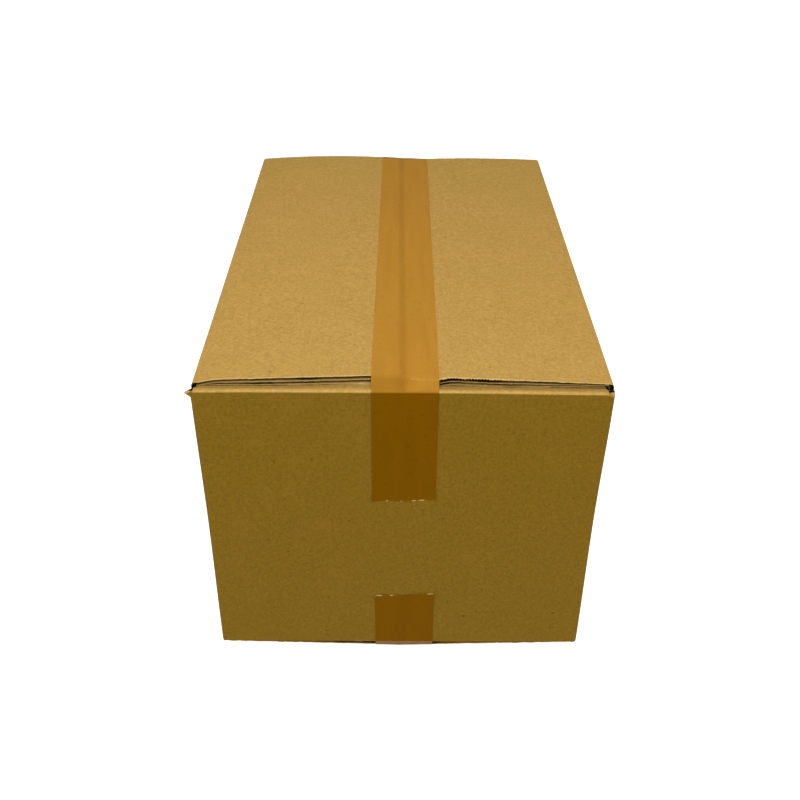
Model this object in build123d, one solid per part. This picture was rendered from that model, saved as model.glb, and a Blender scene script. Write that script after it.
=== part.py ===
from build123d import *

import os
from math import asin, atan2, cos, hypot, radians, sin, tan

# A closed regular slotted carton in double-wall corrugated board, taped along
# the top and bottom seams.  Millimetres, +Z up.  The origin is the centre of
# the footprint on the floor; X is the width, Y the length, and the end panel
# that is usually seen first faces -Y.

# Outside sizes of the closed carton, over its outer flaps.
OUTSIDE_LENGTH = 483.0
OUTSIDE_WIDTH = 310.0
OUTSIDE_HEIGHT = 282.0

# Double-wall board: three liners with a coarse outer and a fine inner flute.
LINER = 0.3
OUTER_FLUTE = 3.2
INNER_FLUTE = 2.4
BOARD = 3 * LINER + OUTER_FLUTE + INNER_FLUTE

# Scored folds.
FOLD_OUTER_RADIUS = 5.0
FOLD_INNER_RADIUS = 0.8

# Cuts in the blank.
SLOT_WIDTH = 9.0
SLOT_BELOW_FOLD = 1.0
FLUTE_OPENING_DEPTH = 3.5

# Closed flaps.
FLAP_CLEARANCE = 1.0
SEAM_GAP = 4.0

# Manufacturer's joint: the back panel's tab, glued inside the left panel.
TAB_WIDTH = 35.0
TAB_TAPER = 12.0
TAB_CLEARANCE = 3.0
JOINT_SET_BACK = 1.5

# Packing tape.
TAPE_WIDTH = 50.0
TAPE_THICKNESS = 0.06
TOOTH_PITCH = 2.0
TOOTH_DEPTH = 1.2
TOP_TAPE_OFFSET = 3.0
TOP_FRONT_LEG = 108.0
TOP_BACK_LEG = 96.0
BOTTOM_TAPE_OFFSET = 3.5
BOTTOM_FRONT_LEG = 71.0
BOTTOM_BACK_LEG = 76.0

# Places worked out from the sizes above.
HALF_LENGTH = OUTSIDE_LENGTH / 2
HALF_WIDTH = OUTSIDE_WIDTH / 2
HALF_HEIGHT = OUTSIDE_HEIGHT / 2
MIDDLE = TAPE_THICKNESS + HALF_HEIGHT
FLAP_LENGTH = HALF_WIDTH - SEAM_GAP / 2
FLAP_SET_BACK = (BOARD + SLOT_WIDTH) / 2
SIDE_SLOT_EDGE = HALF_LENGTH - FLAP_SET_BACK
END_SLOT_EDGE = HALF_WIDTH - FLAP_SET_BACK
TAB_FACE = HALF_WIDTH - BOARD
JOINT_SLOT_EDGE = TAB_FACE - FLAP_SET_BACK
MINOR_DROP = BOARD + FLAP_CLEARANCE
MINOR_HALF_HEIGHT = HALF_HEIGHT - MINOR_DROP
CORNER_HALF_HEIGHT = MINOR_HALF_HEIGHT - SLOT_BELOW_FOLD


def folded_strip(corners):
    """Section of a folded strip of board.

    The corners lie on the outer face and turn clockwise, so the board's
    thickness lies to the right of the path, on the inside of every fold.
    """
    steps = [(b - a).normalized() for a, b in zip(corners, corners[1:])]
    rights = [Vector(step.Y, -step.X) for step in steps]
    inner = [corners[0] + rights[0] * BOARD]
    for corner, before, after in zip(corners[1:], rights, rights[1:]):
        inner.append(corner + (before + after) * BOARD)
    inner.append(corners[-1] + rights[-1] * BOARD)
    outline = [
        FilletPolyline(*corners, radius=FOLD_OUTER_RADIUS),
        FilletPolyline(*inner, radius=FOLD_INNER_RADIUS),
        Line(corners[0], inner[0]),
        Line(corners[-1], inner[-1]),
    ]
    return make_face([edge for line in outline for edge in line.edges()])


def upright_block(low, high, half_height):
    """Block between two corners in plan, centred on mid-height."""
    size = high - low
    middle = (low + high) / 2
    return Pos(middle.X, middle.Y, 0) * Box(size.X, size.Y, 2 * half_height)


def flute_layers():
    """Depth below the outer face, and height, of each flute layer."""
    outer = LINER + OUTER_FLUTE / 2
    inner = 2 * LINER + OUTER_FLUTE + INNER_FLUTE / 2
    return [(outer, OUTER_FLUTE), (inner, INNER_FLUTE)]


def flapped_panel(half_span, half_height, low_edge, high_edge):
    """The panel at +X with its top and bottom flaps.

    It runs in Y from one slot's edge to the other's.  Its flutes are open
    along both cut edges of each flap, and crushed shut at the fold.
    """
    flap_tip = half_span - FLAP_LENGTH
    section = folded_strip([
        Vector(flap_tip, half_height),
        Vector(half_span, half_height),
        Vector(half_span, -half_height),
        Vector(flap_tip, -half_height),
    ])
    panel = extrude(Plane.XZ * section, high_edge - low_edge)
    panel = Pos(0, high_edge, 0) * panel
    length = FLAP_LENGTH - BOARD
    for depth, height in flute_layers():
        opening = Box(length, FLUTE_OPENING_DEPTH, height)
        for y in (low_edge + FLUTE_OPENING_DEPTH / 2, high_edge - FLUTE_OPENING_DEPTH / 2):
            for face in (-1, 1):
                z = face * (half_height - depth)
                panel -= Pos(flap_tip + length / 2, y, z) * opening
    return panel


def corner_fold():
    """The upright fold at +X +Y, from one slot's edge to the other's."""
    arm = FLAP_SET_BACK + BOARD + FOLD_OUTER_RADIUS
    corner = Vector(HALF_WIDTH, HALF_LENGTH)
    fold = extrude(folded_strip([
        corner - Vector(arm, 0),
        corner,
        corner - Vector(0, arm),
    ]), CORNER_HALF_HEIGHT, both=True)
    slot_corner = Vector(END_SLOT_EDGE, SIDE_SLOT_EDGE)
    return fold & upright_block(slot_corner, corner, HALF_HEIGHT)


def joint_fold():
    """The fold at the glued corner, and the tab on the back panel's end."""
    corner = Vector(-TAB_FACE, HALF_LENGTH)
    arm = FLAP_SET_BACK + BOARD + FOLD_OUTER_RADIUS
    fold = extrude(folded_strip([
        corner - Vector(0, BOARD + TAB_WIDTH),
        corner,
        corner + Vector(arm, 0),
    ]), CORNER_HALF_HEIGHT, both=True)
    low = Vector(-TAB_FACE, 0)
    high = Vector(-JOINT_SLOT_EDGE, HALF_LENGTH)
    return (fold & upright_block(low, high, HALF_HEIGHT)) - tab_trim()


def tab_trim():
    """What the tapered top and bottom ends of the tab leave out."""
    root = HALF_LENGTH - BOARD
    tip = root - TAB_WIDTH - BOARD
    root_height = MINOR_HALF_HEIGHT - BOARD - TAB_CLEARANCE
    tip_height = root_height - (root - tip) * tan(radians(TAB_TAPER))
    above = Polyline(
        (root, root_height),
        (tip, tip_height),
        (tip, HALF_HEIGHT),
        (root, HALF_HEIGHT),
        close=True,
    )
    wedge = extrude(Plane.YZ * make_face(above), BOARD, both=True)
    wedge = Pos(-TAB_FACE + BOARD / 2, 0, 0) * wedge
    return wedge + mirror(wedge, Plane.XY)


def raw_edge():
    """The left panel's raw edge outside the tab, with its flutes open."""
    low = Vector(-HALF_WIDTH, SIDE_SLOT_EDGE)
    high = Vector(-TAB_FACE, HALF_LENGTH - JOINT_SET_BACK)
    edge = upright_block(low, high, CORNER_HALF_HEIGHT)
    for depth, height in flute_layers():
        opening = Box(height, FLUTE_OPENING_DEPTH, 2 * CORNER_HALF_HEIGHT)
        y = high.Y - FLUTE_OPENING_DEPTH / 2
        edge -= Pos(-HALF_WIDTH + depth, y, 0) * opening
    return edge


def make_carton():
    """The folded and glued blank, with all eight flaps closed."""
    side = flapped_panel(HALF_WIDTH, HALF_HEIGHT, -SIDE_SLOT_EDGE, SIDE_SLOT_EDGE)
    front = flapped_panel(HALF_LENGTH, MINOR_HALF_HEIGHT, -END_SLOT_EDGE, END_SLOT_EDGE)
    back = flapped_panel(HALF_LENGTH, MINOR_HALF_HEIGHT, -END_SLOT_EDGE, JOINT_SLOT_EDGE)
    back_right = corner_fold()
    front_right = mirror(back_right, Plane.XZ)
    carton = Rot(0, 0, 90) * back
    carton += back_right
    carton += side
    carton += front_right
    carton += Rot(0, 0, -90) * front
    carton += mirror(front_right, Plane.YZ)
    carton += mirror(side, Plane.YZ)
    carton += raw_edge()
    carton += joint_fold()
    return Pos(0, 0, MIDDLE) * carton


def tape_side(end_sign, leg, lift):
    """One end of the tape's line, from its leg up to the outer flap's edge.

    The tape goes up the panel, round the inner flap's fold and then straight
    to the outer flap's edge.  Lift 0 is the glued face of the tape.
    """
    fold_y = HALF_LENGTH - FOLD_OUTER_RADIUS
    fold_z = MINOR_HALF_HEIGHT - FOLD_OUTER_RADIUS
    rise = HALF_HEIGHT - fold_z
    run = fold_y - SIDE_SLOT_EDGE
    slope = atan2(rise, run) - asin(FOLD_OUTER_RADIUS / hypot(rise, run))
    radius = FOLD_OUTER_RADIUS + lift

    def point(y, z):
        return Vector(end_sign * y, z)

    leave = point(fold_y + radius * sin(slope), fold_z + radius * cos(slope))
    halfway = point(fold_y + radius * sin(slope / 2 + radians(45)),
                    fold_z + radius * cos(slope / 2 + radians(45)))
    foot = point(HALF_LENGTH + lift, HALF_HEIGHT - leg)
    start = point(HALF_LENGTH + lift, fold_z)
    corner = point(SIDE_SLOT_EDGE + lift * tan(slope / 2), HALF_HEIGHT + lift)
    lines = [
        Line(foot, start),
        ThreePointArc(start, halfway, leave),
        Line(leave, corner),
    ]
    return lines, foot, corner


def tape_section(front_leg, back_leg):
    """Section of the film along its length, as on the top of the carton."""
    outline = []
    feet = []
    for lift in (0, TAPE_THICKNESS):
        front, front_foot, front_corner = tape_side(-1, front_leg, lift)
        back, back_foot, back_corner = tape_side(1, back_leg, lift)
        outline += front + back
        outline.append(Line(front_corner, back_corner))
        feet.append((front_foot, back_foot))
    (front_inner, back_inner), (front_outer, back_outer) = feet
    outline.append(Line(front_inner, front_outer))
    outline.append(Line(back_inner, back_outer))
    return make_face(outline)


def torn_end(end_sign, leg):
    """What the toothed cutter took off the end of one leg."""
    teeth = round(TAPE_WIDTH / TOOTH_PITCH) + 2
    left = -teeth * TOOTH_PITCH / 2
    foot = HALF_HEIGHT - leg
    points = [(left, foot - TOOTH_DEPTH)]
    for tooth in range(teeth):
        points.append((left + tooth * TOOTH_PITCH, foot))
        points.append((left + (tooth + 0.5) * TOOTH_PITCH, foot + TOOTH_DEPTH))
    points.append((-left, foot))
    points.append((-left, foot - TOOTH_DEPTH))
    cutter = Plane.XZ * make_face(Polyline(*points, close=True))
    cutter = extrude(cutter, BOARD / 2, both=True)
    return Pos(0, end_sign * HALF_LENGTH, 0) * cutter


def make_tape(front_leg, back_leg):
    """One strip of tape over the top seam and down both end panels."""
    section = Plane.YZ * tape_section(front_leg, back_leg)
    tape = extrude(section, TAPE_WIDTH / 2, both=True)
    tape -= torn_end(-1, front_leg)
    tape -= torn_end(1, back_leg)
    return tape


def make_top_tape():
    tape = make_tape(TOP_FRONT_LEG, TOP_BACK_LEG)
    return Pos(TOP_TAPE_OFFSET, 0, MIDDLE) * tape


def make_bottom_tape():
    tape = mirror(make_tape(BOTTOM_FRONT_LEG, BOTTOM_BACK_LEG), Plane.XY)
    return Pos(BOTTOM_TAPE_OFFSET, 0, MIDDLE) * tape


os.makedirs("parts", exist_ok=True)
export_step(make_carton(), "parts/carton.step")
export_step(make_top_tape(), "parts/top_tape.step")
export_step(make_bottom_tape(), "parts/bottom_tape.step")
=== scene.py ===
import math

import bmesh
import bpy
from mathutils import Matrix, Vector, noise


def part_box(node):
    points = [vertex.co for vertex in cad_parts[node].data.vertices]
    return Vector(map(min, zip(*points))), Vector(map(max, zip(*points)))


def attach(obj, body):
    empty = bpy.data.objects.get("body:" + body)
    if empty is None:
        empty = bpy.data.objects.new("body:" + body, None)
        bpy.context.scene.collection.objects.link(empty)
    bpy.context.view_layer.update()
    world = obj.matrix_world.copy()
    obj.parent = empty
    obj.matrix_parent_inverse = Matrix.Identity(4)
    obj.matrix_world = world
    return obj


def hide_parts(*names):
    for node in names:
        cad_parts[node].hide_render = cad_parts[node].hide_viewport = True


# Looks for the closed carton: the folded double-wall blank as its real layers,
# two strips of packing tape, a pale floor, soft light and the camera.
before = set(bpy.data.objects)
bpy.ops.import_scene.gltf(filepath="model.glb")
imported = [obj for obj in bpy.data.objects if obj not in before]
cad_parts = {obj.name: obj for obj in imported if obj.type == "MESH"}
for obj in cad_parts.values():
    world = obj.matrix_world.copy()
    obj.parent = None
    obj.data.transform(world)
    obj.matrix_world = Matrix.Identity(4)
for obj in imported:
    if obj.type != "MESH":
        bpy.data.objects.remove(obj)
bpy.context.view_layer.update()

MM = 0.001
carton_low, carton_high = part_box("carton")
HALF_WIDTH = (carton_high[0] - carton_low[0]) / 2
HALF_LENGTH = (carton_high[1] - carton_low[1]) / 2
TOP = carton_high[2]
top_tape_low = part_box("top_tape")[0]
bottom_tape_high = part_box("bottom_tape")[1]

# Board layers, as depths below the outer face.
BOARD = 6.5 * MM
LINER_OUTER = (0.0, 0.4 * MM)
FLUTES_OUTER = (0.35 * MM, 3.5 * MM)
LINER_MIDDLE = (3.45 * MM, 3.8 * MM)
FLUTES_INNER = (3.75 * MM, 6.15 * MM)
LINER_INNER = (6.1 * MM, 6.5 * MM)

# How far the flutes are crushed in from a flap's cut edge, and how the mediums fill that.
OPEN_FLUTE = 6.0 * MM
MEDIUM_CLEARANCE = 0.35 * MM
MEDIUM_HALF_THICKNESS = 0.12 * MM
MEDIUM_STEPS = 110

# Folds, slots and the glued joint.
MAJOR_FOLD = 3.0 * MM
MINOR_FOLD = 2.0 * MM
UPRIGHT_FOLD = 2.4 * MM
LEAST_BEND = 0.4 * MM
FLAP_SET_BACK = 7.75 * MM
SIDE_EDGE = HALF_LENGTH - FLAP_SET_BACK
END_EDGE = HALF_WIDTH - FLAP_SET_BACK
TAB_FACE = HALF_WIDTH - BOARD
JOINT_EDGE = TAB_FACE - FLAP_SET_BACK
RAW_EDGE = HALF_LENGTH - 1.5 * MM
TAB_WIDTH = 35 * MM
SEAM_HALF = 2 * MM
MINOR_LENGTH = 153 * MM
FRONT_LEFT_EDGE = HALF_WIDTH - 2.5 * MM
FRONT_RIGHT_EDGE = HALF_WIDTH - 5 * MM
SLOT_BELOW_FOLD = 1.0 * MM

# Heights of the minor flaps' outer faces in the bulged, sagging box.
MINOR_TOP = TOP - 5.5 * MM
MINOR_BOTTOM = 12.4 * MM

# The stretch of a side panel that is squeezed or drawn out to meet its flap's fold.
PINCH_START = 262 * MM
FOLD_START = 278 * MM

# Ragged cut edges: slow and quick waves, and the right top flap's torn teeth.
SLOW_RAG = 0.35 * MM
QUICK_RAG = 0.45 * MM
TEAR_DEPTH = 1.3 * MM
TEAR_PITCH = 2.3 * MM

# Bulged sides, and what is crushed at the front corners.
LEFT_BULGE = 0.8 * MM
RIGHT_BULGE = 1.6 * MM
LOW_BULGE = 0.7 * MM
CRUSHED_LENGTH = 14 * MM
EAR_REACH = 4.6 * MM
EAR_HEIGHT = 273.2 * MM
DENT_DEPTH = 1.8 * MM
DENT_HEIGHT = 276 * MM
LOW_CRUSH_HEIGHT = 9 * MM
LOW_LEFT_OUT = 0.3 * MM
LOW_RIGHT_IN = 0.7 * MM

REACH = {"front": HALF_LENGTH, "back": HALF_LENGTH, "left": HALF_WIDTH, "right": HALF_WIDTH}
FOLDS = {"front": MINOR_FOLD, "back": MINOR_FOLD, "left": MAJOR_FOLD, "right": MAJOR_FOLD}
MAJOR = ("left", "right")


def ease(value, start, end):
    """0 before start, 1 after end, smooth between."""
    t = min(max((value - start) / (end - start), 0.0), 1.0)
    return t * t * (3 - 2 * t)


def mix(a, b, t):
    return a + (b - a) * t


def wander(value, seed, size):
    """Smooth noise from -1 to 1 along one line."""
    return noise.noise(Vector((value / size, seed * 7.31, seed * 3.17)))


# ---- the shape of the bulged flaps

def left_top(away, along):
    """The left flap's rise above TOP: away from the seam, along from front 0 to back 1."""
    front = 3.4 * MM - 0.0375 * (away - 22 * MM)
    front -= 2.6 * MM * ease(away, 134 * MM, 155 * MM)
    back = 2.35 * MM - 0.49 * (away - 65 * MM) ** 2
    return mix(front, back, along)


def right_top(away, along):
    """The right flap's rise above TOP, measured as for the left one."""
    front = 1.9 * MM - 0.045 * (away - 35 * MM)
    front -= 2.4 * MM * (1 - ease(away, 24 * MM, 37 * MM)) * (1 - ease(along, 0.0, 0.14))
    back = 0.65 * MM - 0.35 * (away - 90 * MM) ** 2
    back += 1.8 * MM * (1 - ease(away, 5 * MM, 30 * MM))
    return mix(front, back, along)


def major_top(x, y):
    along = min(max((y + SIDE_EDGE) / (2 * SIDE_EDGE), 0.0), 1.0)
    rise = left_top(-x, along) if x < 0 else right_top(x, along)
    return TOP + rise + 0.25 * MM * wander(y, 3 if x < 0 else 5, 70 * MM)


def major_bottom(x, y):
    return 0.5 * MM + 0.03 * abs(x) + 0.2 * MM * (1 + wander(y, 9, 90 * MM))


def minor_top(x, y):
    """A top minor flap's outer face, lifted behind its fold left of the seam."""
    behind = ease(HALF_LENGTH - abs(y), 1 * MM, 8 * MM)
    bump = ease(x, -90 * MM, -30 * MM) * (1 - ease(x, -5 * MM, 25 * MM))
    drop = 0.9 * MM * ease(x, 40 * MM, 150 * MM) + 0.4 * MM * ease(-x, 110 * MM, 147 * MM)
    return MINOR_TOP + 2.0 * MM * bump * behind - drop


def minor_bottom(x, y):
    return MINOR_BOTTOM + 0.25 * MM * wander(x, 4, 60 * MM)


def face_height(side, level, x, y):
    if side in MAJOR:
        return major_top(x, y) if level > 0 else major_bottom(x, y)
    return minor_top(x, y) if level > 0 else minor_bottom(x, y)


def thickness(side, level, x, y):
    """How far the board is squashed: 1 is its full thickness."""
    if side not in MAJOR or level < 0:
        return 1.0
    front = 1 - ease(y, -SIDE_EDGE, -SIDE_EDGE + 60 * MM)
    if x < 0:
        return 1 - front * 0.2 * ease(-x, 75 * MM, 140 * MM)
    return 1 - front * 0.58 * ease(x, 60 * MM, 158 * MM)


# ---- places on the folded blank, at any depth below the outer face

def on_side(side, out, lateral, z):
    if side == "front":
        return Vector((lateral, -out, z))
    if side == "back":
        return Vector((lateral, out, z))
    if side == "right":
        return Vector((out, lateral, z))
    return Vector((-out, lateral, z))


def bend(radius, depth):
    """A fold's radius at a depth in the board."""
    return max(radius - depth, LEAST_BEND)


def kept_in(side, lateral, out, depth):
    """Keeps an end panel's board inside the corner, and its flap off the sides."""
    if side in MAJOR:
        return lateral
    corner = HALF_WIDTH - depth - bend(UPRIGHT_FOLD, depth)
    limit = mix(min(corner, END_EDGE), corner, ease(out, SIDE_EDGE, SIDE_EDGE + 4 * MM))
    return math.copysign(min(abs(lateral), limit), lateral)


def fold_point(side, lateral, level, angle, depth):
    lateral = kept_in(side, lateral, REACH[side], depth)
    radius = bend(FOLDS[side], depth)
    turn = math.radians(angle)
    edge = on_side(side, REACH[side] - FOLDS[side], lateral, 0)
    face = face_height(side, level, edge.x, edge.y)
    squash = thickness(side, level, edge.x, edge.y)
    out = REACH[side] - depth - radius * (1 - math.cos(turn))
    z = face - level * (depth * squash + radius * (1 - math.sin(turn)))
    return on_side(side, out, lateral, z)


def flap_point(side, lateral, level, run, depth):
    start = REACH[side] - depth - bend(FOLDS[side], depth)
    tip = SEAM_HALF if side in MAJOR else HALF_LENGTH - MINOR_LENGTH
    out = mix(start, tip, run)
    place = on_side(side, out, kept_in(side, lateral, out, depth), 0)
    face = face_height(side, level, place.x, place.y)
    place.z = face - level * depth * thickness(side, level, place.x, place.y)
    return place


def body_point(side, lateral, z, depth):
    if side in MAJOR and z > PINCH_START:
        start = fold_point(side, max(min(lateral, SIDE_EDGE), -SIDE_EDGE), 1, 0, 0).z
        z = mix(PINCH_START, start, (z - PINCH_START) / (FOLD_START - PINCH_START))
    lateral = kept_in(side, lateral, REACH[side], depth)
    return on_side(side, REACH[side] - depth, lateral, z)


def corner_point(way_x, way_y, angle, z, depth):
    radius = bend(UPRIGHT_FOLD, depth)
    turn = math.radians(angle)
    x = HALF_WIDTH - depth - radius * (1 - math.cos(turn))
    y = HALF_LENGTH - depth - radius * (1 - math.sin(turn))
    return Vector((way_x * x, way_y * y, z))


def tab_fold_point(angle, z, depth):
    radius = bend(UPRIGHT_FOLD, depth)
    turn = math.radians(angle)
    x = TAB_FACE - depth - radius * (1 - math.cos(turn))
    y = HALF_LENGTH - depth - radius * (1 - math.sin(turn))
    return Vector((-x, y, z))


def ragged(layer, side, level, x):
    """How far a liner's cut edge stands in or out along a flap."""
    seed = layer * 5 + (1 if side == "left" else 2) + level
    amount = SLOW_RAG * wander(x, seed, 8 * MM) + QUICK_RAG * wander(x, seed + 40, 2.4 * MM)
    if side == "right" and level > 0 and layer == 0:
        tear = abs((x / TEAR_PITCH) % 1.0 - 0.5) * 2
        amount += TEAR_DEPTH * tear * (1 - ease(abs(x), 60 * MM, 110 * MM))
    return amount


def hump(value, centre, spread):
    """1 at the centre, fading smoothly to 0 on both sides."""
    return math.exp(-((value - centre) / spread) ** 2)


def sculpt(place):
    """Bulges the sides near the top and the bottom, and crushes the front corners."""
    x, y, z = place
    side_bulge = LEFT_BULGE if x < 0 else RIGHT_BULGE
    high_reach = ease(abs(x), 100 * MM, HALF_WIDTH) * ease(z, 150 * MM, 270 * MM)
    low_reach = ease(abs(x), 100 * MM, HALF_WIDTH) * (1 - ease(z, 20 * MM, 150 * MM))
    place.x += math.copysign(side_bulge * high_reach + LOW_BULGE * low_reach, x)
    if y < -HALF_LENGTH + CRUSHED_LENGTH:
        near_left = hump(x, -HALF_WIDTH, 3.5 * MM)
        near_right = hump(x, HALF_WIDTH, 4 * MM)
        at_front = ease(-y, HALF_LENGTH - 7.5 * MM, HALF_LENGTH - 3 * MM)
        ear = near_left * at_front * hump(z, EAR_HEIGHT, 1.9 * MM)
        dent = near_right * at_front * hump(z, DENT_HEIGHT, 2.2 * MM)
        low_left = near_left * hump(z, LOW_CRUSH_HEIGHT, 3.5 * MM)
        low_right = near_right * hump(z, LOW_CRUSH_HEIGHT, 4 * MM)
        place.x -= EAR_REACH * ear
        place.y += DENT_DEPTH * dent
        place.x += LOW_LEFT_OUT * low_left - LOW_RIGHT_IN * low_right
    return place


def place_of(spot, depth, layer):
    """Where a spot of the blank lies once folded, at a depth in the board."""
    kind = spot[0]
    if kind == "body":
        place = body_point(spot[1], spot[2], spot[3], depth)
    elif kind == "fold":
        place = fold_point(spot[1], spot[2], spot[3], spot[4], depth)
    elif kind == "flap":
        place = flap_point(spot[1], spot[2], spot[3], spot[4], depth)
        if spot[1] in MAJOR and abs(abs(spot[2]) - SIDE_EDGE) < 0.01 * MM:
            outward = 1 if spot[2] > 0 else -1
            place.y += outward * ragged(layer, spot[1], spot[3], place.x)
    elif kind == "corner":
        place = corner_point(spot[1], spot[2], spot[3], spot[4], depth)
    elif kind == "tab_fold":
        place = tab_fold_point(spot[1], spot[2], depth)
    else:
        place = Vector((-(TAB_FACE - depth), spot[1], spot[2]))
    return sculpt(place)


# ---- the blank as a net of quads

def spaced(low, high, near, step):
    """Lines from low to high: the near offsets at both ends, then even steps."""
    lines = [low + offset for offset in near]
    inner_low = low + near[-1]
    inner_high = high - near[-1]
    count = max(1, round((inner_high - inner_low) / step))
    lines += [mix(inner_low, inner_high, i / count) for i in range(1, count)]
    lines += [high - offset for offset in reversed(near)]
    return lines


SLOT_LOW = MINOR_BOTTOM + SLOT_BELOW_FOLD
SLOT_HIGH = MINOR_TOP - SLOT_BELOW_FOLD
SHARED_NEAR = [0, 1.5 * MM, 3 * MM, 5 * MM, 9 * MM]
SHARED = spaced(MINOR_BOTTOM + MINOR_FOLD, MINOR_TOP - MINOR_FOLD, SHARED_NEAR, 20 * MM)
TURNS = (0, 22.5, 45, 67.5, 90)
CORNER_TURNS = (90, 72, 54, 36, 18, 0)


def panel_rows(side, top_count, bottom_count):
    """Rows up one panel: bottom flap, fold, body, fold and top flap."""
    top_runs = [(i + 1) / top_count for i in range(top_count)]
    bottom_runs = [(i + 1) / bottom_count for i in range(bottom_count)]
    if side not in MAJOR:
        near_fold = [0.015, 0.03, 0.045]
        top_runs = near_fold + [mix(near_fold[-1], 1, run) for run in top_runs]
        bottom_runs = near_fold + [mix(near_fold[-1], 1, run) for run in bottom_runs]
    rows = [("flap", -1, run) for run in reversed(bottom_runs)]
    rows += [("fold", -1, turn) for turn in reversed(TURNS)]
    if side in MAJOR:
        heights = [SLOT_LOW] + SHARED + [SLOT_HIGH]
    else:
        heights = SHARED[1:-1]
    rows += [("body", 0, z) for z in heights]
    rows += [("fold", 1, turn) for turn in TURNS]
    rows += [("flap", 1, run) for run in top_runs]
    return rows


def spot_on(side, lateral, row):
    kind, level, value = row
    if kind == "body":
        return ("body", side, lateral, value)
    return (kind, side, lateral, level, value)


def end_spot(side, lateral, z):
    """A spot on an end panel's slot edge, shared with its fold rows."""
    if z == SHARED[0]:
        return ("fold", side, lateral, -1, 0)
    if z == SHARED[-1]:
        return ("fold", side, lateral, 1, 0)
    return ("body", side, lateral, z)


def add_grid(quads, columns, is_open):
    for i in range(len(columns) - 1):
        for j in range(len(columns[0]) - 1):
            corners = (columns[i][j], columns[i + 1][j], columns[i + 1][j + 1], columns[i][j + 1])
            quads.append((corners, is_open(i, j)))


def add_panel(quads, side, laterals, rows):
    columns = [[spot_on(side, lateral, row) for row in rows] for lateral in laterals]
    last = len(laterals) - 1

    def is_open(i, j):
        in_flap = rows[j][0] == "flap" or rows[j + 1][0] == "flap"
        outward = min(laterals[i + 1] - laterals[0], laterals[last] - laterals[i])
        return in_flap and outward <= OPEN_FLUTE + 0.01 * MM

    add_grid(quads, columns, is_open)


def make_blank(top_count, bottom_count, minor_count):
    """The whole blank as quads of spots, each marked open where its flutes are crushed."""
    quads = []
    side_near = [0, 0.8 * MM, 2.5 * MM, 6 * MM, 12 * MM, 25 * MM, 45 * MM]
    end_near = [0, 1.5 * MM, 6 * MM, 12 * MM]
    side_lines = spaced(-SIDE_EDGE, SIDE_EDGE, side_near, 30 * MM)
    for side in MAJOR:
        add_panel(quads, side, side_lines, panel_rows(side, top_count, bottom_count))
    end_rows = panel_rows("front", minor_count, minor_count)
    add_panel(quads, "front", spaced(-FRONT_LEFT_EDGE, FRONT_RIGHT_EDGE, end_near, 8 * MM), end_rows)
    add_panel(quads, "back", spaced(-JOINT_EDGE, END_EDGE, end_near, 8 * MM), end_rows)
    heights = [SLOT_LOW] + SHARED + [SLOT_HIGH]
    corners = ((-1, -1, -FRONT_LEFT_EDGE), (1, -1, FRONT_RIGHT_EDGE), (1, 1, END_EDGE))
    for way_x, way_y, end_line in corners:
        end = "front" if way_y < 0 else "back"
        side = "left" if way_x < 0 else "right"
        columns = [[end_spot(end, end_line, z) for z in heights]]
        for turn in CORNER_TURNS:
            columns.append([("corner", way_x, way_y, turn, z) for z in heights])
        columns.append([("body", side, way_y * SIDE_EDGE, z) for z in heights])
        add_grid(quads, columns, lambda i, j: False)
    raw = [[("body", "left", y, z) for z in heights] for y in (SIDE_EDGE, SIDE_EDGE + 3 * MM, RAW_EDGE)]
    add_grid(quads, raw, lambda i, j: True)
    tab = [[end_spot("back", -JOINT_EDGE, z) for z in heights]]
    for turn in reversed(TURNS):
        tab.append([("tab_fold", turn, z) for z in heights])
    for y in (HALF_LENGTH - BOARD - TAB_WIDTH / 2, HALF_LENGTH - BOARD - TAB_WIDTH):
        tab.append([("tab", y, z) for z in heights])
    add_grid(quads, tab, lambda i, j: False)
    return quads


def finish_piece(mesh_builder, name, node, material):
    """Turns a bmesh into a named piece on the root body."""
    mesh_builder.normal_update()
    bmesh.ops.recalc_face_normals(mesh_builder, faces=mesh_builder.faces)
    mesh = bpy.data.meshes.new(name)
    mesh_builder.to_mesh(mesh)
    mesh_builder.free()
    mesh.shade_smooth()
    mesh.set_sharp_from_angle(angle=math.radians(38))
    mesh.materials.append(material)
    piece = bpy.data.objects.new(name, mesh)
    bpy.context.scene.collection.objects.link(piece)
    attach(piece, "root")
    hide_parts(node)


def add_shell(mesh_builder, quads, depths, layer):
    """Closes one layer of the blank: two faces and the rim between them."""
    faces = []
    for depth in depths:
        made = {}
        for corners in quads:
            for spot in corners:
                if spot not in made:
                    made[spot] = mesh_builder.verts.new(place_of(spot, depth, layer))
        faces.append(made)
    outer, inner = faces
    edges = {}
    for corners in quads:
        mesh_builder.faces.new([outer[spot] for spot in corners])
        mesh_builder.faces.new([inner[spot] for spot in reversed(corners)])
        for a, b in zip(corners, corners[1:] + corners[:1]):
            key = frozenset((a, b))
            edges[key] = None if key in edges else (a, b)
    for rim in edges.values():
        if rim is not None:
            a, b = rim
            mesh_builder.faces.new((outer[b], outer[a], inner[a], inner[b]))


def make_layer(name, blank, depths, layer, material, crushed_open):
    quads = [corners for corners, is_open in blank if not (crushed_open and is_open)]
    builder = bmesh.new()
    add_shell(builder, quads, depths, layer)
    finish_piece(builder, name, "carton", material)


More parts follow.
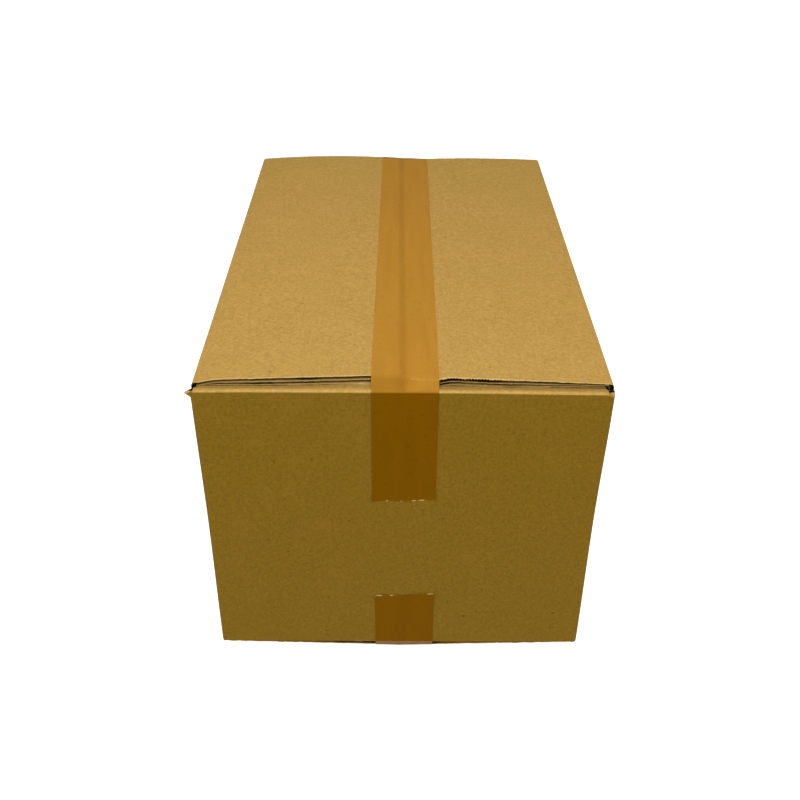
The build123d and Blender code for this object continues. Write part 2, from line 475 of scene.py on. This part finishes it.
def add_medium(builder, side, level, way_y, flutes, seed):
    """The edge of one corrugated medium, wandering between its two liners."""
    depth_low, depth_high = flutes
    middle = (depth_low + depth_high) / 2
    swing = (depth_high - depth_low) / 2 - MEDIUM_CLEARANCE
    rings = []
    for i in range(MEDIUM_STEPS + 1):
        run = 0.01 + 0.97 * i / MEDIUM_STEPS
        x = flap_point(side, 0, level, run, 0).x
        edge = middle + swing * max(-1, min(1, 1.9 * wander(x, seed, 26 * MM)))
        hidden = 3.2 * MM * ease(wander(x, seed + 20, 45 * MM), -0.05, 0.25)
        route = [
            (OPEN_FLUTE + 0.5 * MM, middle),
            (3.4 * MM, mix(middle, edge, 0.6)),
            (0.35 * MM + hidden, edge),
        ]
        path = [(way_y * (SIDE_EDGE - inward), depth) for inward, depth in route]
        around = [(lateral, depth - MEDIUM_HALF_THICKNESS) for lateral, depth in path]
        around += [(lateral, depth + MEDIUM_HALF_THICKNESS) for lateral, depth in reversed(path)]
        places = [sculpt(flap_point(side, lateral, level, run, depth)) for lateral, depth in around]
        rings.append([builder.verts.new(place) for place in places])
    for before, after in zip(rings, rings[1:]):
        for k in range(len(before)):
            n = (k + 1) % len(before)
            builder.faces.new((before[k], before[n], after[n], after[k]))
    builder.faces.new(rings[0])
    builder.faces.new(list(reversed(rings[-1])))


# ---- packing tape

TAPE_HALF = 25 * MM
TAPE_LIFT = 0.22 * MM
TAPE_THICK = 0.09 * MM
SEAM_X = 0.6 * MM
ACROSS_STEPS = 104
ALONG_STEPS = 70
LEG_NEAR = [0.0, 0.9 * MM, 2 * MM, 4 * MM, 7 * MM, 11 * MM, 16 * MM]
LEG_STEPS = 20
BRIDGE_STEPS = 8
LEG_TURNS = (0, 16, 32, 48)
LIFTED_EDGE = 0.9 * MM
BLISTER = 0.8 * MM
BLISTER_START = 0.28
TOOTH_DEPTH = 0.5 * MM
TOOTH_PITCH = 1.9 * MM

# Where each leg ends.
TOP_FRONT_END = top_tape_low[2] - 0.9 * MM
TOP_BACK_END = 186 * MM
BOTTOM_FRONT_END = 69.8 * MM
BOTTOM_BACK_END = bottom_tape_high[2]


def tooth(x):
    """The dispenser blade's teeth along a cut end."""
    return TOOTH_DEPTH * abs((x / TOOTH_PITCH) % 1.0 - 0.5) * 2


def over_flaps(x, y):
    """The film on the flaps: smooth across the step, never under a flap's tip."""
    left = major_top(min(x, -SEAM_HALF), y)
    right = major_top(max(x, SEAM_HALF), y)
    smooth = mix(left, right, ease(x, -7 * MM, 9 * MM))
    return max(smooth, left if x < 0 else right)


def tape_top_face(x, y):
    """The film over the seam: straight across the gap between the flaps' tips."""
    reach = SEAM_HALF + 0.4 * MM
    if abs(x) >= reach:
        return over_flaps(x, y)
    return mix(over_flaps(-reach, y), over_flaps(reach, y), (x + reach) / (2 * reach))


def film_face(x, y, level):
    """The film's height on the outer flaps."""
    if level > 0:
        return tape_top_face(x, y) + TAPE_LIFT
    return major_bottom(x, y) - TAPE_LIFT


def top_front_foot(x):
    slope = 0.055 * max(0.0, x)
    return TOP_FRONT_END + slope + 0.7 * MM * wander(x, 31, 12 * MM) - tooth(x)


def top_back_foot(x):
    return TOP_BACK_END + 0.6 * MM * wander(x, 41, 12 * MM) - tooth(x)


def bottom_front_foot(x):
    rise = 0.09 * max(0.0, x - 4 * MM)
    return BOTTOM_FRONT_END + rise + 0.6 * MM * wander(x, 37, 11 * MM) + tooth(x)


def bottom_back_foot(x):
    return BOTTOM_BACK_END + 0.5 * MM * wander(x, 43, 12 * MM) + tooth(x)


def bubbles(x, z, seed):
    """Small blisters under the film."""
    return BLISTER * max(0.0, noise.noise(Vector((x * 160, z * 120, seed))) - BLISTER_START)


def end_path(x, way_y, level, foot, from_middle):
    """Film points from one leg's end to the outer flap's edge."""
    centre_z = face_height("front", level, x, way_y * HALF_LENGTH) - level * MINOR_FOLD
    points = []
    start = foot + level * LEG_NEAR[-1]
    heights = [foot + level * step for step in LEG_NEAR]
    heights += [mix(start, centre_z, i / LEG_STEPS) for i in range(1, LEG_STEPS)]
    for z in heights:
        at_end = 1 - ease(abs(z - foot), 4 * MM, 15 * MM)
        lifted = LIFTED_EDGE * at_end * ease(from_middle, TAPE_HALF - 1.6 * MM, TAPE_HALF)
        out = HALF_LENGTH + TAPE_LIFT + bubbles(x, z, 2.0 + way_y) + lifted
        points.append((way_y * out, z))
    radius = MINOR_FOLD + TAPE_LIFT
    for turn in LEG_TURNS:
        angle = math.radians(turn)
        y = HALF_LENGTH - MINOR_FOLD + radius * math.cos(angle)
        points.append((way_y * y, centre_z + level * radius * math.sin(angle)))
    last_y, last_z = points[-1]
    corner_y = way_y * (SIDE_EDGE + 0.3 * MM)
    corner_z = film_face(x, way_y * SIDE_EDGE, level)
    for i in range(1, BRIDGE_STEPS):
        t = i / BRIDGE_STEPS
        bow = 0.35 * MM * math.sin(math.pi * t) * wander(x, 51, 8 * MM)
        points.append((mix(last_y, corner_y, t), mix(last_z, corner_z, t) + level * bow))
    return points


def make_tape(name, node, level, front_foot, back_foot, front_centre, back_centre, material):
    """One strip: a grid of film from end to end, then its thickness and its rim."""
    builder = bmesh.new()
    torn = builder.verts.layers.float.new("torn")
    rows = []
    for i in range(ACROSS_STEPS + 1):
        offset = mix(-TAPE_HALF, TAPE_HALF, i / ACROSS_STEPS)
        front_x = offset + front_centre
        back_x = offset + back_centre
        front = end_path(front_x, -1, level, front_foot(front_x), abs(offset))
        back = end_path(back_x, 1, level, back_foot(back_x), abs(offset))
        column = [(front_x, y, z) for y, z in front]
        for j in range(ALONG_STEPS + 1):
            t = j / ALONG_STEPS
            x = offset + mix(front_centre, back_centre, t)
            y = mix(-SIDE_EDGE, SIDE_EDGE, t)
            column.append((x, y, film_face(x, y, level)))
        column += [(back_x, y, z) for y, z in reversed(back)]
        rows.append([builder.verts.new(place) for place in column])
        rows[-1][0][torn] = 1.0
        rows[-1][-1][torn] = 1.0
    for before, after in zip(rows, rows[1:]):
        for k in range(len(before) - 1):
            builder.faces.new((before[k], after[k], after[k + 1], before[k + 1]))
    surface = list(builder.faces)
    if level < 0:
        bmesh.ops.reverse_faces(builder, faces=surface)
    bmesh.ops.recalc_face_normals(builder, faces=surface)
    builder.normal_update()
    lift = 1 if sum(f.normal.z * f.calc_area() for f in surface) * level > 0 else -1
    moved = {v: builder.verts.new(v.co + lift * v.normal * TAPE_THICK) for v in list(builder.verts)}
    for low_vert, high_vert in moved.items():
        high_vert[torn] = low_vert[torn]
    for face in surface:
        builder.faces.new([moved[v] for v in reversed(face.verts)])
    for edge in [e for e in builder.edges if len(e.link_faces) == 1 and e.verts[0] in moved]:
        a, b = edge.verts
        builder.faces.new((a, b, moved[b], moved[a]))
    finish_piece(builder, name, node, material)


# ---- procedural materials

# Socket places of a colour Mix node.
FIRST_COLOUR = 6
SECOND_COLOUR = 7
MIXED_COLOUR = 2


def new_material(name):
    material = bpy.data.materials.new(name)
    material.use_nodes = True
    nodes = material.node_tree.nodes
    return material, nodes, material.node_tree.links, nodes["Principled BSDF"]


def noise_node(nodes, links, source, scale, detail, stretch=(1, 1, 1)):
    mapping = nodes.new("ShaderNodeMapping")
    mapping.inputs["Scale"].default_value = stretch
    links.new(source, mapping.inputs["Vector"])
    made = nodes.new("ShaderNodeTexNoise")
    made.inputs["Scale"].default_value = scale
    made.inputs["Detail"].default_value = detail
    links.new(mapping.outputs["Vector"], made.inputs["Vector"])
    return made.outputs["Fac"]


def ranged(nodes, links, source, low, high, to_low, to_high):
    made = nodes.new("ShaderNodeMapRange")
    made.inputs["From Min"].default_value = low
    made.inputs["From Max"].default_value = high
    made.inputs["To Min"].default_value = to_low
    made.inputs["To Max"].default_value = to_high
    links.new(source, made.inputs["Value"])
    return made.outputs["Result"]


def blended(nodes, links, factor, first, second, kind="MIX"):
    made = nodes.new("ShaderNodeMix")
    made.data_type = "RGBA"
    made.blend_type = kind
    links.new(factor, made.inputs["Factor"])
    for socket, value in ((made.inputs[FIRST_COLOUR], first), (made.inputs[SECOND_COLOUR], second)):
        if isinstance(value, tuple):
            socket.default_value = (*value, 1)
        else:
            links.new(value, socket)
    return made.outputs[MIXED_COLOUR]


def stained(nodes, links, colour, source, low, high, strength, stain):
    """Multiplies a stain into the colour where the noise runs from low to high."""
    factor = ranged(nodes, links, source, low, high, 0.0, strength)
    return blended(nodes, links, factor, colour, stain, "MULTIPLY")


def worked(nodes, links, operation, first, second=None):
    """One sum on sockets or plain numbers."""
    made = nodes.new("ShaderNodeMath")
    made.operation = operation
    for socket, value in zip(made.inputs, (first, second)):
        if isinstance(value, float):
            socket.default_value = value
        elif value is not None:
            links.new(value, socket)
    return made.outputs[0]


def product(nodes, links, first, *others):
    for other in others:
        first = worked(nodes, links, "MULTIPLY", first, other)
    return first


def split(nodes, links, source):
    """The X, Y and Z of a vector."""
    parts = nodes.new("ShaderNodeSeparateXYZ")
    links.new(source, parts.inputs["Vector"])
    return parts.outputs


def facing(nodes, links):
    """The X, Y and Z of the surface's normal."""
    return split(nodes, links, nodes.new("ShaderNodeNewGeometry").outputs["Normal"])


def upward(nodes, links):
    """1 on faces that look up, 0 on upright and underside faces."""
    return ranged(nodes, links, facing(nodes, links)["Z"], 0.15, 0.85, 0, 1)


def bumped(nodes, links, shader, heights):
    previous = None
    for height, strength, distance in heights:
        bump = nodes.new("ShaderNodeBump")
        bump.inputs["Strength"].default_value = strength
        bump.inputs["Distance"].default_value = distance
        links.new(height, bump.inputs["Height"])
        if previous is not None:
            links.new(previous, bump.inputs["Normal"])
        previous = bump.outputs["Normal"]
    links.new(previous, shader.inputs["Normal"])


def worn_and_highlit_folds(nodes, links):
    """1 where a fold turns from flat to upright, 0 on either face."""
    up = facing(nodes, links)["Z"]
    rising = ranged(nodes, links, up, 0.12, 0.5, 0, 1)
    falling = ranged(nodes, links, up, 0.9, 0.99, 1, 0)
    return product(nodes, links, rising, falling)


def beside_flaps(nodes, links, where, colour):
    """Paints the outer flaps' rims pale, torn fibres with a painted highlight, and a painted shade on
    the strips beside them with painted shadow lines for the gaps.
    """
    place = split(nodes, links, where)
    normal = facing(nodes, links)
    along = worked(nodes, links, "ABSOLUTE", place["Y"])
    from_middle = worked(nodes, links, "SUBTRACT", place["Z"], TOP / 2)
    height = worked(nodes, links, "ABSOLUTE", from_middle)
    flat = worked(nodes, links, "ABSOLUTE", normal["Z"])
    sideways = worked(nodes, links, "ABSOLUTE", normal["X"])

    # Painted shade on the minor flaps' strips just in front of the outer flaps' edges.
    level = TOP / 2 - 3.7 * MM
    low = ranged(nodes, links, height, level - 0.1 * MM, level + 0.1 * MM, 1.0, 0.0)
    outside = ranged(nodes, links, along, SIDE_EDGE + 0.1 * MM, SIDE_EDGE + 0.4 * MM, 0.0, 1.0)
    lying = ranged(nodes, links, flat, 0.6, 0.9, 0.0, 1.0)
    on_strip = product(nodes, links, low, outside, lying)
    fading = ranged(nodes, links, along, SIDE_EDGE + 3.5 * MM, SIDE_EDGE + 6.5 * MM, 1.0, 0.0)
    strip = product(nodes, links, on_strip, fading)
    colour = blended(nodes, links, strip, colour, (0.64, 0.64, 0.66), "MULTIPLY")

    # Painted shadow: a dark line, in patches, where a gap would show beside the flap's edge.
    near = ranged(nodes, links, along, SIDE_EDGE + 0.8 * MM, SIDE_EDGE + 1.3 * MM, 1.0, 0.0)
    gap_shadow_noise = noise_node(nodes, links, where, 40, 2)
    gap_shadow_patches = ranged(nodes, links, gap_shadow_noise, 0.42, 0.52, 0.2, 1.0)
    gap = product(nodes, links, on_strip, near, gap_shadow_patches)
    colour = blended(nodes, links, gap, colour, (0.10, 0.08, 0.07), "MULTIPLY")

    # The outer flaps' cut edges turn pale: torn fibres and a painted highlight.
    high = worked(nodes, links, "SUBTRACT", 1.0, low)
    at_end = ranged(nodes, links, along, SIDE_EDGE - 1.0 * MM, SIDE_EDGE - 0.4 * MM, 0.0, 0.75)
    ahead = ranged(nodes, links, sideways, 0.3, 0.6, 1.0, 0.0)
    on_flap = ranged(nodes, links, along, SIDE_EDGE + 1.5 * MM, SIDE_EDGE + 2.0 * MM, 1.0, 0.0)
    rim = product(nodes, links, high, at_end, ahead, on_flap)
    return blended(nodes, links, rim, colour, (0.72, 0.50, 0.20))


def kraft(name, flat_colour, shaded_upright_colour, worn_and_highlit_colour, has_flaps=False):
    """Brown paper: mottled, grainy and specked; faces that look up are paler and the others carry
    painted shade, and folds are paler from wear and a painted highlight.
    """
    material, nodes, links, shader = new_material(name)
    where = nodes.new("ShaderNodeTexCoord").outputs["Object"]
    mottle = noise_node(nodes, links, where, 30, 4)
    grain = noise_node(nodes, links, where, 430, 5)
    tint = noise_node(nodes, links, where, 170, 3)
    fibres = noise_node(nodes, links, where, 760, 3, (1, 1, 0.45))
    dirt = noise_node(nodes, links, where, 210, 2)
    # Painted shade: faces that don't look up take the darker upright colour.
    colour = blended(nodes, links, upward(nodes, links), shaded_upright_colour, flat_colour)
    # Folds turn pale: rubbed wear and a painted highlight.
    colour = blended(nodes, links, worn_and_highlit_folds(nodes, links), colour, worn_and_highlit_colour)
    colour = stained(nodes, links, colour, mottle, 0.3, 0.7, 0.5, (0.90, 0.93, 0.88))
    colour = stained(nodes, links, colour, grain, 0.34, 0.66, 1.0, (0.80, 0.80, 0.74))
    colour = stained(nodes, links, colour, tint, 0.4, 0.66, 0.8, (0.91, 0.95, 0.86))
    colour = stained(nodes, links, colour, fibres, 0.60, 0.74, 0.45, (0.62, 0.58, 0.48))
    colour = stained(nodes, links, colour, dirt, 0.72, 0.77, 0.6, (0.45, 0.36, 0.25))
    if has_flaps:
        colour = beside_flaps(nodes, links, where, colour)
    links.new(colour, shader.inputs["Base Color"])
    links.new(ranged(nodes, links, mottle, 0.3, 0.7, 0.80, 0.92), shader.inputs["Roughness"])
    shader.inputs["Specular IOR Level"].default_value = 0.08
    shader.inputs["Specular Tint"].default_value = (1.0, 0.8, 0.4, 1)
    bumped(nodes, links, shader, ((mottle, 0.25, 1.0 * MM), (grain, 0.5, 0.22 * MM)))
    return material


def tape_film(name, flat_colour, shaded_upright_colour):
    """Brown film: streaked, spotted with glue, darker over the seam, torn pale at its ends, and painted
    darker as shade on faces that don't look up.
    """
    material, nodes, links, shader = new_material(name)
    where = nodes.new("ShaderNodeTexCoord").outputs["Object"]
    streaks = noise_node(nodes, links, where, 120, 3, (1, 0.12, 0.12))
    glue = noise_node(nodes, links, where, 300, 3)
    waves = noise_node(nodes, links, where, 45, 3)
    # Painted shade: faces that don't look up take the darker upright colour.
    colour = blended(nodes, links, upward(nodes, links), shaded_upright_colour, flat_colour)

    from_seam = worked(nodes, links, "SUBTRACT", split(nodes, links, where)["X"], SEAM_X)
    away = worked(nodes, links, "ABSOLUTE", from_seam)
    over_seam = ranged(nodes, links, away, 1.0 * MM, 4.0 * MM, 0.32, 0.0)
    lying = product(nodes, links, over_seam, upward(nodes, links))
    colour = blended(nodes, links, lying, colour, (0.66, 0.62, 0.55), "MULTIPLY")

    colour = stained(nodes, links, colour, streaks, 0.4, 0.75, 0.35, (0.82, 0.78, 0.70))
    colour = stained(nodes, links, colour, glue, 0.60, 0.74, 0.4, (0.72, 0.66, 0.55))

    end = nodes.new("ShaderNodeAttribute")
    end.attribute_name = "torn"
    rips = ranged(nodes, links, noise_node(nodes, links, where, 140, 3), 0.52, 0.60, 0.0, 1.0)
    fringe = product(nodes, links, end.outputs["Fac"], rips)
    colour = blended(nodes, links, fringe, colour, (0.80, 0.56, 0.22))
    links.new(colour, shader.inputs["Base Color"])
    links.new(ranged(nodes, links, glue, 0.3, 0.7, 0.32, 0.46), shader.inputs["Roughness"])
    shader.inputs["Specular IOR Level"].default_value = 0.015
    shader.inputs["Specular Tint"].default_value = (1.0, 0.5, 0.0, 1)
    bumped(nodes, links, shader, ((waves, 0.3, 0.8 * MM), (glue, 0.2, 0.1 * MM)))
    return material


def floor_finish(name):
    material, nodes, links, shader = new_material(name)
    where = nodes.new("ShaderNodeTexCoord").outputs["Object"]
    cloud = noise_node(nodes, links, where, 3, 2)
    colour = blended(nodes, links, cloud, (0.90, 0.90, 0.90), (0.93, 0.93, 0.93))
    links.new(colour, shader.inputs["Base Color"])
    shader.inputs["Roughness"].default_value = 0.9
    shader.inputs["Emission Color"].default_value = (1, 1, 1, 1)
    shader.inputs["Emission Strength"].default_value = 0.85
    return material


# ---- pieces

kraft_face = kraft(
    "kraft_face",
    flat_colour=(0.540, 0.320, 0.087),
    shaded_upright_colour=(0.191, 0.106, 0.0093),
    worn_and_highlit_colour=(0.56, 0.34, 0.10),
    has_flaps=True,
)
kraft_edge = kraft(
    "kraft_edge",
    flat_colour=(0.56, 0.37, 0.135),
    shaded_upright_colour=(0.55, 0.36, 0.13),
    worn_and_highlit_colour=(0.56, 0.37, 0.135),
)
# Near black: painted shade inside the flute voids, laid on the solid flute layers.
flute_void_shade = kraft(
    "flute_void_shade",
    flat_colour=(0.012, 0.007, 0.003),
    shaded_upright_colour=(0.010, 0.006, 0.002),
    worn_and_highlit_colour=(0.012, 0.007, 0.003),
)
# Painted shade: the mediums' kraft is darkened as it sits inside the flutes.
shaded_kraft_medium = kraft(
    "shaded_kraft_medium",
    flat_colour=(0.036, 0.021, 0.007),
    shaded_upright_colour=(0.030, 0.018, 0.006),
    worn_and_highlit_colour=(0.036, 0.021, 0.007),
)
film = tape_film("brown_film", flat_colour=(0.440, 0.213, 0.027), shaded_upright_colour=(0.140, 0.058, 0.0))

# The outer liner's ragged edges need more rows across the top flaps than the rest.
fine_blank = make_blank(top_count=230, bottom_count=60, minor_count=14)
plain_blank = make_blank(top_count=70, bottom_count=60, minor_count=14)
make_layer("board_liner_outer", fine_blank, LINER_OUTER, 0, kraft_face, crushed_open=False)
# The flute layers are solid slabs; their near-black colour is painted shade for the voids.
make_layer("board_flutes_outer", plain_blank, FLUTES_OUTER, 1, flute_void_shade, crushed_open=True)
make_layer("board_liner_middle", plain_blank, LINER_MIDDLE, 2, kraft_edge, crushed_open=False)
make_layer("board_flutes_inner", plain_blank, FLUTES_INNER, 3, flute_void_shade, crushed_open=True)
make_layer("board_liner_inner", plain_blank, LINER_INNER, 4, kraft_edge, crushed_open=False)

mediums = bmesh.new()
medium_seed = 60
for flap_side in MAJOR:
    for flap_level in (1, -1):
        for flap_end in (-1, 1):
            for flutes in (FLUTES_OUTER, FLUTES_INNER):
                add_medium(mediums, flap_side, flap_level, flap_end, flutes, medium_seed)
                medium_seed += 1
finish_piece(mediums, "board_mediums", "carton", shaded_kraft_medium)

make_tape(
    "tape_top",
    "top_tape",
    level=1,
    front_foot=top_front_foot,
    back_foot=top_back_foot,
    front_centre=2.0 * MM,
    back_centre=4.8 * MM,
    material=film,
)
make_tape(
    "tape_bottom",
    "bottom_tape",
    level=-1,
    front_foot=bottom_front_foot,
    back_foot=bottom_back_foot,
    front_centre=3.8 * MM,
    back_centre=3.4 * MM,
    material=film,
)


# ---- floor, light and camera

bpy.ops.mesh.primitive_plane_add(size=80, location=(0, 0, 0))
floor = bpy.context.object
floor.name = "floor"
floor.data.materials.append(floor_finish("pale_floor"))


def add_light(name, place, target, size, power, colour):
    data = bpy.data.lights.new(name, "AREA")
    data.size = size
    data.energy = power
    data.color = colour
    light = bpy.data.objects.new(name, data)
    bpy.context.scene.collection.objects.link(light)
    light.location = place
    light.rotation_euler = (Vector(target) - Vector(place)).to_track_quat("-Z", "Y").to_euler()


add_light(
    "overhead",
    place=(-0.05, -0.62, 1.45),
    target=(0, -0.1, 0.25),
    size=1.3,
    power=19,
    colour=(1.0, 0.99, 0.97),
)
add_light(
    "front_fill",
    place=(0.2, -2.2, 0.9),
    target=(0, -0.2, 0.15),
    size=1.2,
    power=3,
    colour=(1.0, 0.90, 0.70),
)

world = bpy.data.worlds.new("studio")
world.use_nodes = True
background = world.node_tree.nodes["Background"]
background.inputs["Color"].default_value = (1.0, 0.98, 0.94, 1)
background.inputs["Strength"].default_value = 0.3
bpy.context.scene.world = world
bpy.context.scene.view_settings.view_transform = "Standard"

# The camera stands in front of the box and looks down. Its angles are in radians.
CAMERA_PLACE = Vector((-0.00579, -0.83393, 0.66417))
PITCH = 0.58823
YAW = 0.00698
ROLL = -0.00935
LENS = 43.593
forward = Vector((math.sin(YAW) * math.cos(PITCH), math.cos(YAW) * math.cos(PITCH), -math.sin(PITCH)))
level_right = Vector((math.cos(YAW), -math.sin(YAW), 0))
level_down = forward.cross(level_right)
right = math.cos(ROLL) * level_right + math.sin(ROLL) * level_down
down = -math.sin(ROLL) * level_right + math.cos(ROLL) * level_down
camera_data = bpy.data.cameras.new("camera")
camera_data.lens = LENS
camera_data.sensor_width = 36
camera = bpy.data.objects.new("camera", camera_data)
bpy.context.scene.collection.objects.link(camera)
turned = Matrix((right, -down, -forward)).transposed().to_4x4()
camera.matrix_world = Matrix.Translation(CAMERA_PLACE) @ turned
bpy.context.scene.camera = camera
